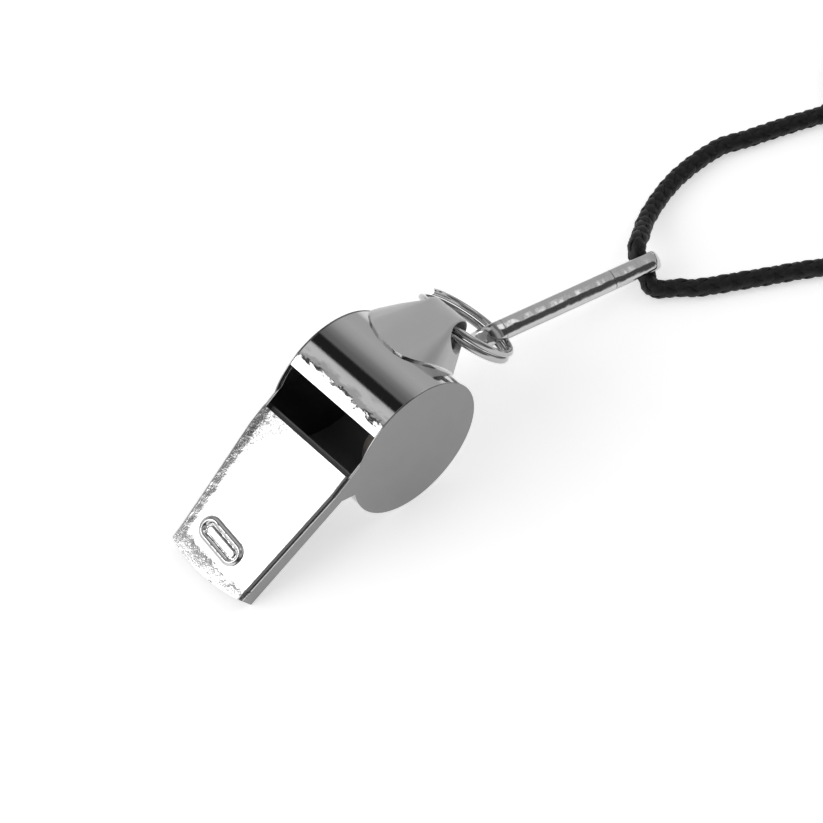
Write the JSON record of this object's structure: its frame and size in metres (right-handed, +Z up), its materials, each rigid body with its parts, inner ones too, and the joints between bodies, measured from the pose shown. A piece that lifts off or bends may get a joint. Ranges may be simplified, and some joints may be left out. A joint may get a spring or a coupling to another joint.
{
  "type": "sports whistle",
  "caption": "Bright metal pea whistle with a split ring, a long spring clip and a braided neck cord.",
  "frame": {"origin": "middle of whistle, ring and clip, on the surface they rest on", "axes": "+X from the mouthpiece towards the clip, +Y to the whistle's left, +Z up"},
  "size_m": [0.158, 0.0437, 0.0208],
  "materials": {
    "barrel_plate": "bright nickel plate, polished",
    "side_plate": "bright nickel plate, polished flat",
    "mouth_plate": "bright nickel plate, polished",
    "lug_plate": "nickel plate, satin",
    "ring_wire": "bright plated spring wire",
    "clip_strip": "bright plated half-round strip",
    "cork": "natural cork",
    "cord": "round braided black cord"
  },
  "bodies": {
    "whistle": {"barrel_wrap": "barrel_plate", "side_plate_right": "side_plate", "side_plate_left": "side_plate", "mouthpiece_top": "mouth_plate", "mouthpiece_floor": "mouth_plate", "ring_lug": "lug_plate"},
    "pea": {"pea": "cork"},
    "ring": {"split_ring": "ring_wire"},
    "clip": {"clip_frame": "clip_strip", "cord_upper": "cord", "cord_lower": "cord", "cord_knot": "cord", "cord_coil": "cord"},
    "gate": {"clip_gate": "clip_strip"}
  },
  "joints": [
    {"name": "pea_whirl", "type": "hinge", "parent": "whistle", "child": "pea", "pos_m": [-0.01066, 0, 0.01025], "axis": [0, 1, 0], "continuous": true},
    {"name": "ring_swing", "type": "hinge", "parent": "whistle", "child": "ring", "pos_m": [0.00144, 0.0008, 0.0186], "axis": [0, 1, 0], "range_deg": [-105, 5]},
    {"name": "clip_swing", "type": "hinge", "parent": "ring", "child": "clip", "pos_m": [0.01038, -0.00004, 0.0088], "axis": [0.1607, 0.8159, 0.5554], "range_deg": [-60, 35]},
    {"name": "gate_flex", "type": "hinge", "parent": "clip", "child": "gate", "pos_m": [0.01113, -0.00158, 0.01085], "axis": [0.1607, 0.8159, 0.5554], "range_deg": [0, 6], "stiffness_Nm_per_rad": 0.05}
  ]
}
